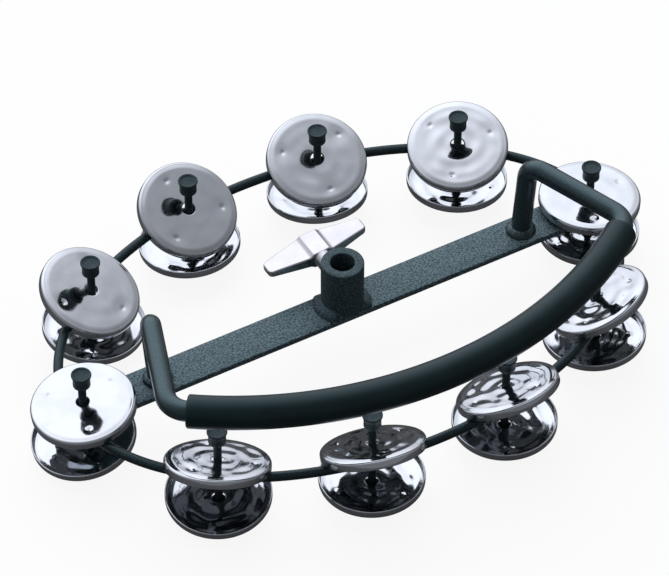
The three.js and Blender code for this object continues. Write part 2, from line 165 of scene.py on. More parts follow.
def softbox(name, towards, distance, width, height, radiance):
    """A rectangular area lamp at a distance along a direction, aimed at the ring. Its power is
    radiance times pi times its area, and mirrors don't show it, only the surround."""
    lamp = bpy.data.objects.new(name, bpy.data.lights.new(name, "AREA"))
    lamp.data.shape = "RECTANGLE"
    lamp.data.size = width
    lamp.data.size_y = height
    lamp.data.energy = radiance * np.pi * width * height
    towards = Vector(towards).normalized()
    lamp.visible_glossy = False
    lamp.location = AIM + towards * distance
    lamp.rotation_mode = "QUATERNION"
    lamp.rotation_quaternion = (-towards).to_track_quat("-Z", "Y")
    bpy.context.scene.collection.objects.link(lamp)


softbox("back_softbox", (0.354, 0.612, 0.9), distance=1.6, width=1.2, height=1.0, radiance=1.5)
softbox("left_fill", (-0.86, -0.25, 0.5), distance=1.8, width=1.2, height=1.2, radiance=0.5)

# Ring rod: one round steel rod bent to an oval and butt welded, with semi-gloss black
# paint. The posts and the bar are welded to its inside.
RING_HALF_LENGTH = 139
RING_HALF_WIDTH = 93.5
RING_HEIGHT = 27.2
RING_ROD_RADIUS = 2.28
RING_STEPS = 320
ROD_SIDES = 24
BLACK_PAINT = (0.004, 0.008, 0.009)
COLD_SHINE = (0.62, 0.93, 1, 1)
PAINT_BUMP = 0.6
CLOUD_SIZE = 12


def circle(count):
    return np.linspace(0, 2 * np.pi, count, endpoint=False)


def ring_place(turn):
    """The oval's point at a turn, and the unit direction out of it: (a cos t, b sin t) and
    (cos t / a, sin t / b) made one long."""
    place = np.stack([RING_HALF_LENGTH * np.cos(turn), RING_HALF_WIDTH * np.sin(turn)], -1)
    out = np.stack([np.cos(turn) / RING_HALF_LENGTH, np.sin(turn) / RING_HALF_WIDTH], -1)
    return place, out / np.linalg.norm(out, axis=-1, keepdims=True)


def paint_group():
    """Grain: fine noise for small bumps, and a cloudy noise of which each cloud is as wide as
    twelve grains."""
    group = bpy.data.node_groups.new("painted_surface", "ShaderNodeTree")
    for name, kind in (("Position", "NodeSocketVector"), ("Grains per metre", "NodeSocketFloat")):
        group.interface.new_socket(name, in_out="INPUT", socket_type=kind)
    for name in ("Grain", "Clouds"):
        group.interface.new_socket(name, in_out="OUTPUT", socket_type="NodeSocketFloat")
    inside, wires = group.nodes, group.links
    entry = inside.new("NodeGroupInput")
    exit_ = inside.new("NodeGroupOutput")
    fine = inside.new("ShaderNodeTexNoise")
    fine.inputs["Detail"].default_value = 2
    coarse = inside.new("ShaderNodeTexNoise")
    coarse.inputs["Detail"].default_value = 3
    slower = inside.new("ShaderNodeMath")
    slower.operation = "DIVIDE"
    slower.inputs[1].default_value = CLOUD_SIZE
    wires.new(entry.outputs["Position"], fine.inputs["Vector"])
    wires.new(entry.outputs["Position"], coarse.inputs["Vector"])
    wires.new(entry.outputs["Grains per metre"], fine.inputs["Scale"])
    wires.new(entry.outputs["Grains per metre"], slower.inputs[0])
    wires.new(slower.outputs[0], coarse.inputs["Scale"])
    wires.new(fine.outputs["Fac"], exit_.inputs["Grain"])
    wires.new(coarse.outputs["Fac"], exit_.inputs["Clouds"])
    return group


PAINT = paint_group()


def add_range(nodes, links, value, socket, low, high):
    """Feeds a socket with a mask from 0.3 to 0.7 spread from low to high."""
    spread = nodes.new("ShaderNodeMapRange")
    spread.inputs["From Min"].default_value = 0.3
    spread.inputs["From Max"].default_value = 0.7
    spread.inputs["To Min"].default_value = low
    spread.inputs["To Max"].default_value = high
    links.new(value, spread.inputs["Value"])
    links.new(spread.outputs["Result"], socket)


def add_mix(nodes, links, mask, socket, dark, light, low=0.35, high=0.65):
    """Feeds a colour socket with two colours mixed by a mask between low and high."""
    ramp = nodes.new("ShaderNodeValToRGB")
    ramp.color_ramp.elements[0].position = low
    ramp.color_ramp.elements[1].position = high
    ramp.color_ramp.elements[0].color = (*dark, 1)
    ramp.color_ramp.elements[1].color = (*light, 1)
    links.new(mask, ramp.inputs["Fac"])
    links.new(ramp.outputs["Color"], socket)


def painted(name, dark, light, roughness, grains, depth, shine=0.5, grain_colour=False):
    """A coat with grain: colour by clouds or by the grain itself, roughness by clouds, and a
    bump as deep as given, in metres. Its shine has a cold tint."""
    material, nodes, links, shader = new_material(name, dark, 0, roughness[0])
    shader.inputs["Specular IOR Level"].default_value = shine
    shader.inputs["Specular Tint"].default_value = COLD_SHINE
    place = nodes.new("ShaderNodeTexCoord")
    coat = nodes.new("ShaderNodeGroup")
    coat.node_tree = PAINT
    coat.inputs["Grains per metre"].default_value = grains
    bump = nodes.new("ShaderNodeBump")
    bump.inputs["Strength"].default_value = PAINT_BUMP
    bump.inputs["Distance"].default_value = depth
    links.new(place.outputs["Object"], coat.inputs["Position"])
    links.new(coat.outputs["Grain"], bump.inputs["Height"])
    links.new(bump.outputs["Normal"], shader.inputs["Normal"])
    mask = coat.outputs["Grain" if grain_colour else "Clouds"]
    add_mix(nodes, links, mask, shader.inputs["Base Color"], dark, light)
    add_range(nodes, links, coat.outputs["Clouds"], shader.inputs["Roughness"], *roughness)
    return material


def finish_piece(piece, material, slot, body, *stands_for):
    """Gives a piece its material, its body and the CAD nodes it stands for; the slot is not used."""
    piece.data.materials.clear()
    piece.data.materials.append(material)
    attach(piece, body)
    if stands_for:
        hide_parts(*stands_for)
    return piece


rod_paint = painted(
    "rod_paint", BLACK_PAINT, (0.02, 0.032, 0.036), roughness=(0.26, 0.36), grains=1300, depth=0.00006,
    shine=0.4, grain_colour=True,
)
along, out = ring_place(circle(RING_STEPS))
side = circle(ROD_SIDES)
rod_level = (RING_HEIGHT + RING_ROD_RADIUS * np.sin(side))[None, :, None]
ring_rows = np.concatenate([
    along[:, None] + out[:, None] * (RING_ROD_RADIUS * np.cos(side))[None, :, None],
    np.broadcast_to(rod_level, (RING_STEPS, ROD_SIDES, 1)),
], -1)
ring = closed_mesh("ring_wire", ring_rows, close_rows=True)
finish_piece(ring, rod_paint, "black_rod", "frame", "ring_rod")

# Posts: ten straight wires, each welded upright to the inside of the ring rod with one
# small bead, and painted with it. Their ends hold the rubber caps.
PAIRS = "abcdefghij"
POST_RADIUS = 1.88
POST_CHAMFER = 0.3
WELD_HALF_HEIGHT = 2.0
WELD_HALF_WIDTH = 1.9
WELD_SINK = 0.1


def turned(profile, centre, around):
    """A profile of (radius, height) pairs spun round a vertical line through the centre."""
    profile = np.asarray(profile, dtype=float)
    turn = circle(around)
    radius, height = profile[:, 0:1], profile[:, 1:2]
    flat = np.stack([radius * np.cos(turn), radius * np.sin(turn), height + 0 * turn], -1)
    return flat + np.asarray(centre, dtype=float)


def millimetres(node):
    """The low and high corners of a CAD node's box, in millimetres."""
    low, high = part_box(node)
    return np.array(low) * 1000, np.array(high) * 1000


for letter in PAIRS:
    low, high = millimetres(f"post_{letter}")
    centre = (low + high) / 2
    wire = turned([
        (POST_RADIUS - POST_CHAMFER, low[2]), (POST_RADIUS, low[2] + POST_CHAMFER),
        (POST_RADIUS, high[2] - POST_CHAMFER), (POST_RADIUS - POST_CHAMFER, high[2]),
    ], (centre[0], centre[1], 0), ROD_SIDES)
    piece = closed_mesh(f"post_wire_{letter}", wire)
    finish_piece(piece, rod_paint, "black_rod", "frame", f"post_{letter}")
    turn = np.arctan2(centre[1] / RING_HALF_WIDTH, centre[0] / RING_HALF_LENGTH)
    spot, away = ring_place(turn)
    bead_centre = spot - away * (RING_ROD_RADIUS + WELD_SINK)
    level = np.linspace(-1, 1, 15)[1:-1]
    bead = turned(np.stack([
        WELD_HALF_WIDTH * np.sqrt(1 - level ** 2) * (1 + 0.04 * np.sin(level * 14)),
        RING_HEIGHT + WELD_HALF_HEIGHT * level,
    ], -1), (bead_centre[0], bead_centre[1], 0), 20)
    piece = closed_mesh(f"post_weld_{letter}", bead)
    finish_piece(piece, rod_paint, "black_rod", "frame")

# Caps: twenty moulded black rubber caps pushed on the ends of the posts, each with a thin
# wider head at the closed end, which is dished, and a chamfered mouth.
CAP_RADIUS = 4.63
CAP_BODY = 4.03
CAP_MOUTH = 2.75
CAP_HEAD = 1
CAP_HEIGHT = 8
CAP_BORE = 2.05
CAP_BORE_DEPTH = 5.5

cap_rubber = painted(
    "cap_rubber", (0.006, 0.014, 0.016), (0.03, 0.048, 0.053), roughness=(0.4, 0.55), grains=1400,
    depth=0.00006, shine=0.35, grain_colour=True,
)


def arc(centre_radius, centre_height, radius, start, stop, steps):
    """Profile points on a circle from one angle to another, in degrees."""
    turn = np.radians(np.linspace(start, stop, steps))
    return np.stack([centre_radius + radius * np.cos(turn), centre_height + radius * np.sin(turn)], -1)


under_head = CAP_HEIGHT - CAP_HEAD
cap_profile = np.vstack([
    [(CAP_BORE, CAP_BORE_DEPTH), (CAP_BORE, 0.15), (CAP_BORE + 0.15, 0), (CAP_MOUTH - 0.1, 0)],
    [(CAP_BODY - 0.12, CAP_BODY - CAP_MOUTH - 0.1), (CAP_BODY, CAP_BODY - CAP_MOUTH + 0.15)],
    [(CAP_BODY - 0.05, 3.5), (CAP_BODY, under_head - 0.15), (CAP_BODY + 0.12, under_head + 0.05)],
    [(CAP_RADIUS - 0.2, under_head + 0.05)],
    arc(CAP_RADIUS - 0.18, under_head + 0.25, 0.18, -60, 0, 4),
    arc(CAP_RADIUS - 0.3, CAP_HEIGHT - 0.3, 0.3, 0, 90, 6),
    [(CAP_RADIUS - 0.75, CAP_HEIGHT - 0.03), (CAP_RADIUS - 1.15, CAP_HEIGHT - 0.45)],
    [(CAP_RADIUS - 1.6, CAP_HEIGHT - 0.62), (1.6, CAP_HEIGHT - 0.68), (0.5, CAP_HEIGHT - 0.7)],
])
for letter in PAIRS:
    for end, flip in (("top", 1), ("bottom", -1)):
        low, high = millimetres(f"{end}_cap_{letter}")
        mouth = low[2] if flip > 0 else high[2]
        centre = (low + high) / 2
        shape = turned(cap_profile * (1, flip), (centre[0], centre[1], mouth), 40)
        piece = closed_mesh(f"{end}_rubber_{letter}", shape)
        finish_piece(piece, cap_rubber, "cap_rubber", "frame", f"{end}_cap_{letter}")

# Cross bar: a flat steel bar with hammered grey-black paint, its ends cut to the ring's
# curve and notched round the two end posts, with a hole under the hub.
BAR_HALF_WIDTH = 9.45
BAR_BOTTOM = 26.35
BAR_TOP = 29.45
BAR_EDGE = 0.45
BAR_END_GAP = 2.6
NOTCH_HALF = 2.2
POST_IN_ROD = 2.2
HUB_BORE = 5.65

hammered_paint = painted(
    "hammered_paint", (0.006, 0.013, 0.015), (0.135, 0.195, 0.22), roughness=(0.34, 0.5), grains=1150,
    depth=0.00025, grain_colour=True,
)


def bar_outline():
    """The bar's outline from above, once round: the long edges are straight at half the width,
    and the ends follow the oval less the gap, with a notch for a post in the middle."""
    reach_x = RING_HALF_LENGTH - BAR_END_GAP
    reach_y = RING_HALF_WIDTH - BAR_END_GAP
    across = np.linspace(NOTCH_HALF + 0.06, BAR_HALF_WIDTH, 9)
    bow = reach_x * np.sqrt(1 - (across / reach_y) ** 2)
    post_x = RING_HALF_LENGTH - RING_ROD_RADIUS - POST_IN_ROD
    nick = np.radians(np.linspace(180, 90, 7))
    inner = np.stack([post_x + NOTCH_HALF * np.cos(nick), NOTCH_HALF * np.sin(nick)], -1)
    end = np.vstack([inner, np.stack([bow, across], -1)])
    edge_x = np.linspace(bow[-1], 0, 40)[1:]
    edge = np.stack([edge_x, np.full(39, BAR_HALF_WIDTH)], -1)
    quarter = np.vstack([end, edge])
    half = np.vstack([quarter, (quarter * (-1, 1))[::-1][1:]])
    return np.vstack([half, (half * (1, -1))[::-1][1:-1]])


outline = bar_outline()
tangent = np.roll(outline, -1, 0) - np.roll(outline, 1, 0)
normal = np.stack([tangent[:, 1], -tangent[:, 0]], -1)
normal /= np.linalg.norm(normal, axis=-1, keepdims=True)
angle = np.arctan2(outline[:, 1], outline[:, 0])
hole = HUB_BORE * np.stack([np.cos(angle), np.sin(angle)], -1)


def bar_row(flat, height):
    """An outline seen from above, laid at a height."""
    return np.concatenate([flat, np.full((len(flat), 1), float(height))], -1)


edge_turn = np.radians(np.array([90, 60, 30, 0]))
bar_rows = [bar_row(hole, BAR_BOTTOM), bar_row(hole, BAR_TOP)]
bar_rows += [
    bar_row(outline - normal * BAR_EDGE * (1 - np.cos(t)), BAR_TOP - BAR_EDGE * (1 - np.sin(t)))
    for t in edge_turn
]
bar_rows += [
    bar_row(outline - normal * BAR_EDGE * (1 - np.cos(t)), BAR_BOTTOM + BAR_EDGE * (1 - np.sin(t)))
    for t in edge_turn[::-1]
]
bar = closed_mesh("bar_plate", np.array(bar_rows), close_rows=True)
finish_piece(bar, hammered_paint, "hammered_steel", "frame", "cross_bar")

# Clamp hub: a thick steel tube welded upright on the bar with a bead as wide as the bar
# allows, and a threaded side hole for the clamp screw, in a darker copy of the same paint
# whose darkness is painted shade for its upright sides.
HUB_RADIUS = 9.98
HUB_BASE = 29.8
HUB_TOP = 55.8
HUB_WELD_REACH = 3.7
HUB_WELD_HEIGHT = 3.5
SCREW_HEIGHT = 43.2
SCREW_HOLE = 3.3
DRILL_LENGTH = 20


def combine(piece, other, operation):
    """Joins or cuts a piece with another closed mesh, which is then dropped."""
    change = piece.modifiers.new("combine", "BOOLEAN")
    change.operation = operation
    change.object = other
    change.solver = "EXACT"
    bpy.context.view_layer.update()
    settled = piece.evaluated_get(bpy.context.evaluated_depsgraph_get())
    shape = bpy.data.meshes.new_from_object(settled)
    piece.modifiers.clear()
    piece.data = shape
    bpy.data.objects.remove(other)
    shape.polygons.foreach_set("use_smooth", np.ones(len(shape.polygons), bool))
    shape.set_sharp_from_angle(angle=np.radians(40))


def along_screw(points):
    """Lays what stands along Z down along +Y at the clamp screw's height."""
    points = np.asarray(points)
    return np.stack([points[..., 0], points[..., 2], SCREW_HEIGHT - points[..., 1]], -1)


def welded_rows(radius, reach, limit, height, base, turn):
    """Rows of a weld bead round a tube: it starts wide at the base and climbs to the tube with
    a slight bulge, and its width ripples as the torch moved."""
    ripple = 0.12 * np.sin(13 * turn + 2 * np.sin(3 * turn))
    wide = np.clip(np.minimum(radius + reach + ripple, limit), radius + 0.02, None)
    width = wide - radius
    climb = np.linspace(0, 1, 8)[:, None]
    bulge = 1 - climb + 0.22 * np.sin(np.pi * climb) * (1 + 0.12 * np.sin(34 * turn))
    tall = 0.1 + (height - 0.1) * np.clip(width / reach, 0, 1)
    return radius + width * bulge, base + tall * climb + 0 * turn


def ring_rows_of(radius, height, turn, centre=(0, 0)):
    """Rows of points at a radius, a height and a turn about an upright line, each of which may
    change from point to point."""
    radius, height = np.broadcast_arrays(radius + 0 * turn, height + 0 * turn)
    return np.stack([centre[0] + radius * np.cos(turn), centre[1] + radius * np.sin(turn), height], -1)


turn = circle(144)
bar_limit = BAR_HALF_WIDTH / np.maximum(np.abs(np.sin(turn)), 1e-6)
bead_radius, bead_height = welded_rows(
    HUB_RADIUS, HUB_WELD_REACH, bar_limit, HUB_WELD_HEIGHT, HUB_BASE, turn,
)
tube_profile = np.vstack([
    arc(HUB_RADIUS - 0.7, HUB_TOP - 0.7, 0.7, 0, 90, 6),
    arc(HUB_BORE + 0.5, HUB_TOP - 0.5, 0.5, 90, 180, 5),
    [(HUB_BORE, HUB_BASE + 0.3), (HUB_BORE + 0.3, HUB_BASE)],
])
hub_rows = np.concatenate([
    ring_rows_of(bead_radius, bead_height, turn),
    ring_rows_of(tube_profile[:, :1], tube_profile[:, 1:], turn),
])
hub = closed_mesh("hub_tube", hub_rows, close_rows=True)
drill = turned([(SCREW_HOLE, 0), (SCREW_HOLE, DRILL_LENGTH)], (0, 0, 0), 48)
combine(hub, closed_mesh("drill", along_screw(drill)), "DIFFERENCE")
# The bar's paint with finer grain, made darker: painted shade for the hub's upright sides.
hub_shaded_paint = painted(
    "hub_shaded_paint", (0.004, 0.010, 0.012), (0.055, 0.085, 0.095), roughness=(0.36, 0.5), grains=1250,
    depth=0.0002, grain_colour=True,
)
finish_piece(hub, hub_shaded_paint, "hammered_steel", "frame", "clamp_hub")

# Clamp screw: a zinc-plated stud with a rolled thread and a chamfered tip, which runs in
# the hub's side hole and presses on the stand's rod.
STUD_RADIUS = 2.97
STUD_TIP = 4.7
STUD_END = 26.3
STUD_TIP_RADIUS = 2.2
THREAD_PITCH = 1.0
THREAD_DEPTH = 0.35
SCRATCH_BUMP = 0.3
SMUDGES_PER_METRE = 70


def metal_group():
    """Wear on bare metal: hairline scratches where a stretched noise crosses its middle, and
    cloudy smudges."""
    group = bpy.data.node_groups.new("bare_metal", "ShaderNodeTree")
    for name, kind in (("Position", "NodeSocketVector"), ("Lines per metre", "NodeSocketFloat")):
        group.interface.new_socket(name, in_out="INPUT", socket_type=kind)
    for name in ("Scratches", "Smudges"):
        group.interface.new_socket(name, in_out="OUTPUT", socket_type="NodeSocketFloat")
    inside, wires = group.nodes, group.links
    entry = inside.new("NodeGroupInput")
    exit_ = inside.new("NodeGroupOutput")
    lines = inside.new("ShaderNodeTexNoise")
    lines.inputs["Detail"].default_value = 4
    lines.inputs["Distortion"].default_value = 1.2
    smudge = inside.new("ShaderNodeTexNoise")
    smudge.inputs["Scale"].default_value = SMUDGES_PER_METRE
    smudge.inputs["Detail"].default_value = 3
    middle = inside.new("ShaderNodeMath")
    middle.operation = "SUBTRACT"
    middle.inputs[1].default_value = 0.5
    fold = inside.new("ShaderNodeMath")
    fold.operation = "ABSOLUTE"
    thin = inside.new("ShaderNodeMapRange")
    thin.inputs["From Min"].default_value = 0.0
    thin.inputs["From Max"].default_value = 0.012
    thin.inputs["To Min"].default_value = 1.0
    thin.inputs["To Max"].default_value = 0.0
    wires.new(entry.outputs["Position"], lines.inputs["Vector"])
    wires.new(entry.outputs["Position"], smudge.inputs["Vector"])
    wires.new(entry.outputs["Lines per metre"], lines.inputs["Scale"])
    wires.new(lines.outputs["Fac"], middle.inputs[0])
    wires.new(middle.outputs[0], fold.inputs[0])
    wires.new(fold.outputs[0], thin.inputs["Value"])
    wires.new(thin.outputs["Result"], exit_.inputs["Scratches"])
    wires.new(smudge.outputs["Fac"], exit_.inputs["Smudges"])
    return group


METAL = metal_group()


def plated(name, dark, light, roughness, lines, scratch_depth):
    """A plated metal: colour and roughness by smudges, with faint scratches as a bump."""
    material, nodes, links, shader = new_material(name, light, 1, roughness[0])
    place = nodes.new("ShaderNodeTexCoord")
    wear = nodes.new("ShaderNodeGroup")
    wear.node_tree = METAL
    wear.inputs["Lines per metre"].default_value = lines
    bump = nodes.new("ShaderNodeBump")
    bump.invert = True
    bump.inputs["Strength"].default_value = SCRATCH_BUMP
    bump.inputs["Distance"].default_value = scratch_depth
    links.new(place.outputs["Object"], wear.inputs["Position"])
    links.new(wear.outputs["Scratches"], bump.inputs["Height"])
    links.new(bump.outputs["Normal"], shader.inputs["Normal"])
    smudges = wear.outputs["Smudges"]
    add_mix(nodes, links, smudges, shader.inputs["Base Color"], dark, light, 0.25, 0.6)
    add_range(nodes, links, smudges, shader.inputs["Roughness"], roughness[1], roughness[0])
    return material


screw_zinc = plated(
    "screw_zinc", (0.5, 0.5, 0.52), (0.6, 0.6, 0.61), roughness=(0.22, 0.34), lines=400,
    scratch_depth=0.00002,
)
turn = circle(40)
length = np.linspace(STUD_TIP, STUD_END, 260)[:, None]
wave = np.abs(2 * ((length / THREAD_PITCH - turn / (2 * np.pi)) % 1) - 1)
tip = np.minimum(length - STUD_TIP, STUD_END - length)
stud_radius = np.minimum(STUD_RADIUS - THREAD_DEPTH * wave, STUD_TIP_RADIUS + tip)
stud = closed_mesh("screw_stud", along_screw(ring_rows_of(stud_radius, length, turn)))
finish_piece(stud, screw_zinc, "screw_steel", "clamp_screw", "clamp_screw")

# Wing head: one cast piece with a flat-topped boss, a round neck and two thin wings, polished
# and chrome-plated, fast on the end of the stud. It rests with its right wing a little up.
WING_SPAN = 25.9
BOSS_Y = (17.95, 32.65)
TIP_Y = (21.45, 29.95)
TIP_START = 23
WING_START = 5
WING_ROOT_HALF = 3.7
WING_TIP_HALF = 1.85
BOSS_HALF = 4.9
FACET_HALF = 3.9
STEP_END = 6.6
WING_CORNER = 0.7
WING_CROWN = 0.14
REST_TURN = np.radians(5.5)
NECK_RADIUS = 4.38
NECK_START = 12.45
SOCKET_END = 26.7

chrome = plated(
    "wing_chrome", (0.56, 0.56, 0.58), (0.64, 0.64, 0.66), roughness=(0.13, 0.22), lines=220,
    scratch_depth=0.00002,
)


def wing_rows():
    """Sections of the wing head along its span, each a slightly crowned rectangle in y and z
    with round corners. The boss is level to the facet's edge, falls by a quarter sine to the
    wing and tapers to the tip, where a quarter circle rounds the plan's corners and the
    thickness; all of it is turned to rest."""
    half_run = np.concatenate([
        [0, 1.5, 3.0, FACET_HALF - 0.12, FACET_HALF, FACET_HALF + 0.12],
        np.linspace(FACET_HALF + 0.3, STEP_END, 14), np.linspace(STEP_END + 0.3, TIP_START - 0.2, 22),
        TIP_START + (WING_SPAN - TIP_START) * np.sin(np.radians(np.linspace(0, 88, 16))),
    ])
    across = np.concatenate([-half_run[:0:-1], half_run])
    run = np.abs(across)
    far = np.clip((run - WING_START) / (TIP_START - WING_START), 0, 1)
    round_in = WING_SPAN - TIP_START
    corner = round_in - np.sqrt(np.clip(round_in ** 2 - np.clip(run - TIP_START, 0, None) ** 2, 0, None))
    near = BOSS_Y[0] + (TIP_Y[0] - BOSS_Y[0]) * far + corner
    away = BOSS_Y[1] + (TIP_Y[1] - BOSS_Y[1]) * far - corner
    taper = WING_ROOT_HALF + (WING_TIP_HALF - WING_ROOT_HALF) * run / WING_SPAN
    step = np.clip((run - FACET_HALF) / (STEP_END - FACET_HALF), 0, 1)
    step = np.sin(np.pi / 2 * step) ** 1.2
    half = taper + (BOSS_HALF - taper) * (1 - step)
    edge = np.clip((run - (WING_SPAN - 0.9)) / 0.9, 0, 1)
    half = half * np.sqrt(1 - 0.85 * edge ** 2)
    half_depth = (away - near) / 2
    bend = np.minimum(WING_CORNER, 0.9 * np.minimum(half, half_depth))[:, None]
    turn = np.radians(np.linspace(0, 90, 7))
    hold = np.minimum(0.12, 0.09 * np.minimum(half, half_depth))[:, None]
    sideways_bend = np.concatenate([[1], np.cos(turn), [0]])
    upward_bend = np.concatenate([[0], np.sin(turn), [1]])
    wide = half_depth[:, None] - bend + bend * sideways_bend - hold * np.eye(9)[8]
    high = half[:, None] - bend + bend * upward_bend - hold * np.eye(9)[0]
    high = high * (1 - WING_CROWN * (wide / half_depth[:, None]) ** 2)
    wide = np.concatenate([wide, -wide[:, ::-1], -wide, wide[:, ::-1]], 1)
    high = np.concatenate([high, high[:, ::-1], -high, -high[:, ::-1]], 1)
    x = across[:, None] * np.cos(REST_TURN) - high * np.sin(REST_TURN)
    z = across[:, None] * np.sin(REST_TURN) + high * np.cos(REST_TURN)
    return np.stack([x, (near + away)[:, None] / 2 + wide, SCREW_HEIGHT + z], -1)


wing = closed_mesh("wing_casting", wing_rows())
neck_profile = np.vstack([
    [(NECK_RADIUS - 1.2, NECK_START)], arc(NECK_RADIUS - 0.5, NECK_START + 0.5, 0.5, -90, 0, 5),
    [(NECK_RADIUS, BOSS_Y[0] - 0.3), (NECK_RADIUS + 0.25, BOSS_Y[0] + 0.4)],
    [(NECK_RADIUS - 1, BOSS_Y[0] + 2)],
])
combine(wing, closed_mesh("neck", along_screw(turned(neck_profile, (0, 0, 0), 48))), "UNION")
socket = turned([(SCREW_HOLE, NECK_START - 1), (SCREW_HOLE, SOCKET_END)], (0, 0, 0), 48)
combine(wing, closed_mesh("socket", along_screw(socket)), "DIFFERENCE")
finish_piece(wing, chrome, "chrome", "wing_head", "wing_head")

# Handle rod: one round rod bent into two legs, two arms and a long front arc, in textured
# black paint. Its feet are welded to the bar all round.
HANDLE_RADIUS = 4.72
HANDLE_HEIGHT = 70.2
LEG_FOOT = 96.4
LEG_TOP = 99.4
TOP_BEND = 8
ARM_FLARE = np.radians(20)
CORNER = 11
FRONT_REACH = 95.2
FRONT_RADIUS = 191
FOOT_GAP = 0.35
LEG_WELD_REACH = 2.4
LEG_WELD_HEIGHT = 2.9
LEG_WELD_LIMIT = 9.0

handle_paint = painted(
    "handle_paint", (0.004, 0.009, 0.010), (0.02, 0.031, 0.035), roughness=(0.2, 0.28), grains=1250,
    depth=0.0001, shine=1, grain_colour=True,
)


def unit(vector):
    """A vector made one long."""
    return vector / np.linalg.norm(vector)


def arc_run(centre, start, axis, sweep, steps):
    """Points and tangents of a circular arc: the start's arm from the centre turned about the
    axis through equal angles, by Rodrigues' formula."""
    arm = start - centre
    angle = np.linspace(0, sweep, steps)[:, None]
    turned_arm = arm * np.cos(angle) + np.cross(axis, arm) * np.sin(angle)
    return centre + turned_arm, np.cross(axis, turned_arm) / np.linalg.norm(arm)


foot = np.array([LEG_FOOT, 0, BAR_TOP])
top = np.array([LEG_TOP, 0, HANDLE_HEIGHT])
rise = unit(top - foot)
forward = np.array([np.sin(ARM_FLARE), -np.cos(ARM_FLARE), 0])
inward = np.array([-np.cos(ARM_FLARE), -np.sin(ARM_FLARE), 0])
up = np.array([0.0, 0.0, 1.0])
bend_turn = np.arccos(rise @ forward)
bend_start = top - rise * TOP_BEND * np.tan(bend_turn / 2)
bend_axis = unit(np.cross(rise, forward))
bend_centre = bend_start + np.cross(bend_axis, rise) * TOP_BEND
arc_centre = np.array([0, FRONT_RADIUS - FRONT_REACH, HANDLE_HEIGHT])
offset = top + inward * CORNER - arc_centre
reach = FRONT_RADIUS - CORNER
ahead = -(offset @ forward) + np.sqrt((offset @ forward) ** 2 - offset @ offset + reach ** 2)
corner_centre = arc_centre + offset + forward * ahead
arm_end = top + forward * ahead
to_arc = unit(corner_centre - arc_centre)
corner_turn = np.arccos(-inward @ to_arc)
half_sweep = np.arctan2(to_arc[0], -to_arc[1])

bend_points, bend_tangents = arc_run(bend_centre, bend_start, bend_axis, bend_turn, 20)
corner_points, corner_tangents = arc_run(corner_centre, arm_end, -up, corner_turn, 20)
front_points, front_tangents = arc_run(arc_centre, corner_points[-1], -up, half_sweep, 90)
leg_start = foot + rise * FOOT_GAP
steps = np.linspace(0, 1, 24)[:-1, None]
leg = leg_start + (bend_start - leg_start) * steps
arm = bend_points[-1] + (arm_end - bend_points[-1]) * steps[1:]
path = np.vstack([leg, bend_points, arm, corner_points, front_points[1:]])
heading = np.vstack([
    rise + 0 * leg, bend_tangents, forward + 0 * arm, corner_tangents, front_tangents[1:],
])
in_bend = len(leg) + len(bend_points)
twist = np.arctan2(up @ np.cross(forward, bend_axis), up @ bend_axis)
upright = np.tile(up, (len(path), 1))
upright[:in_bend] = np.cos(twist) * bend_axis + np.sin(twist) * np.cross(heading[:in_bend], bend_axis)
sideways = np.cross(heading, upright)


def swept(centre, first, second, radius, around):
    """Circles of a radius round each centre, in the plane of its two unit directions."""
    turn = circle(around)[None, :, None]
    radius = np.broadcast_to(np.asarray(radius, dtype=float), len(centre))[:, None, None]
    return centre[:, None] + radius * (np.cos(turn) * first[:, None] + np.sin(turn) * second[:, None])


half_rows = swept(path, upright, sideways, HANDLE_RADIUS, 32)
other_rows = (half_rows * (-1, 1, 1))[::-1][1:]
handle = closed_mesh("handle_bend", np.concatenate([half_rows, other_rows]))
finish_piece(handle, handle_paint, "black_rod", "frame", "handle_rod")

turn = circle(72)
for side_name, sign in (("right", 1), ("left", -1)):
    bead_radius, bead_height = welded_rows(
        HANDLE_RADIUS, LEG_WELD_REACH, LEG_WELD_LIMIT, LEG_WELD_HEIGHT, HUB_BASE, turn,
    )
    rows = ring_rows_of(bead_radius, bead_height, turn, (sign * LEG_FOOT, 0))
    shift = sign * (bead_height - HUB_BASE) * rise[0] / rise[2]
    rows[..., 0] += shift
    piece = closed_mesh(f"leg_weld_{side_name}", rows)
    finish_piece(piece, handle_paint, "black_rod", "frame")

# Sleeve: a thick rubber tube pushed over the front arc as a grip, satin black with a
# faint teal cast, its ends cut square and a little rounded.
SLEEVE_RADIUS = 7.58
SLEEVE_BORE = 5.1
SLEEVE_ROUND = 1.1
OUTER_STEPS = 158
BORE_STEPS = 60

sleeve_rubber = painted(
    "sleeve_rubber", (0.004, 0.010, 0.011), (0.006, 0.014, 0.015), roughness=(0.33, 0.4), grains=1200,
    depth=0.000015, shine=0.4,
)
arc_length = 2 * half_sweep * FRONT_RADIUS
end_turn = np.radians(np.linspace(90, 0, 7))
end_run = SLEEVE_ROUND * (1 - np.cos(end_turn[::-1]))
shoulder = SLEEVE_RADIUS - SLEEVE_ROUND + SLEEVE_ROUND * np.sin(end_turn[::-1])
between = np.linspace(SLEEVE_ROUND, arc_length - SLEEVE_ROUND, OUTER_STEPS + 2)[1:-1]
along_outer = np.concatenate([end_run, between, arc_length - end_run[::-1]])
radius_outer = np.concatenate([shoulder, np.full(OUTER_STEPS, SLEEVE_RADIUS), shoulder[::-1]])
along_inner = np.linspace(arc_length, 0, BORE_STEPS)
radius_inner = np.full(BORE_STEPS, SLEEVE_BORE)
distance = np.concatenate([along_outer, along_inner]) - arc_length / 2
radius = np.concatenate([radius_outer, radius_inner])
angle = distance / FRONT_RADIUS
outwards = np.stack([np.sin(angle), -np.cos(angle), 0 * angle], -1)
centre = arc_centre + FRONT_RADIUS * outwards
sleeve_rows = swept(centre, np.tile(up, (len(centre), 1)), outwards, radius, 48)
sleeve = closed_mesh("grip_sleeve", sleeve_rows, close_rows=True)
finish_piece(sleeve, sleeve_rubber, "sleeve_rubber", "frame", "handle_sleeve")

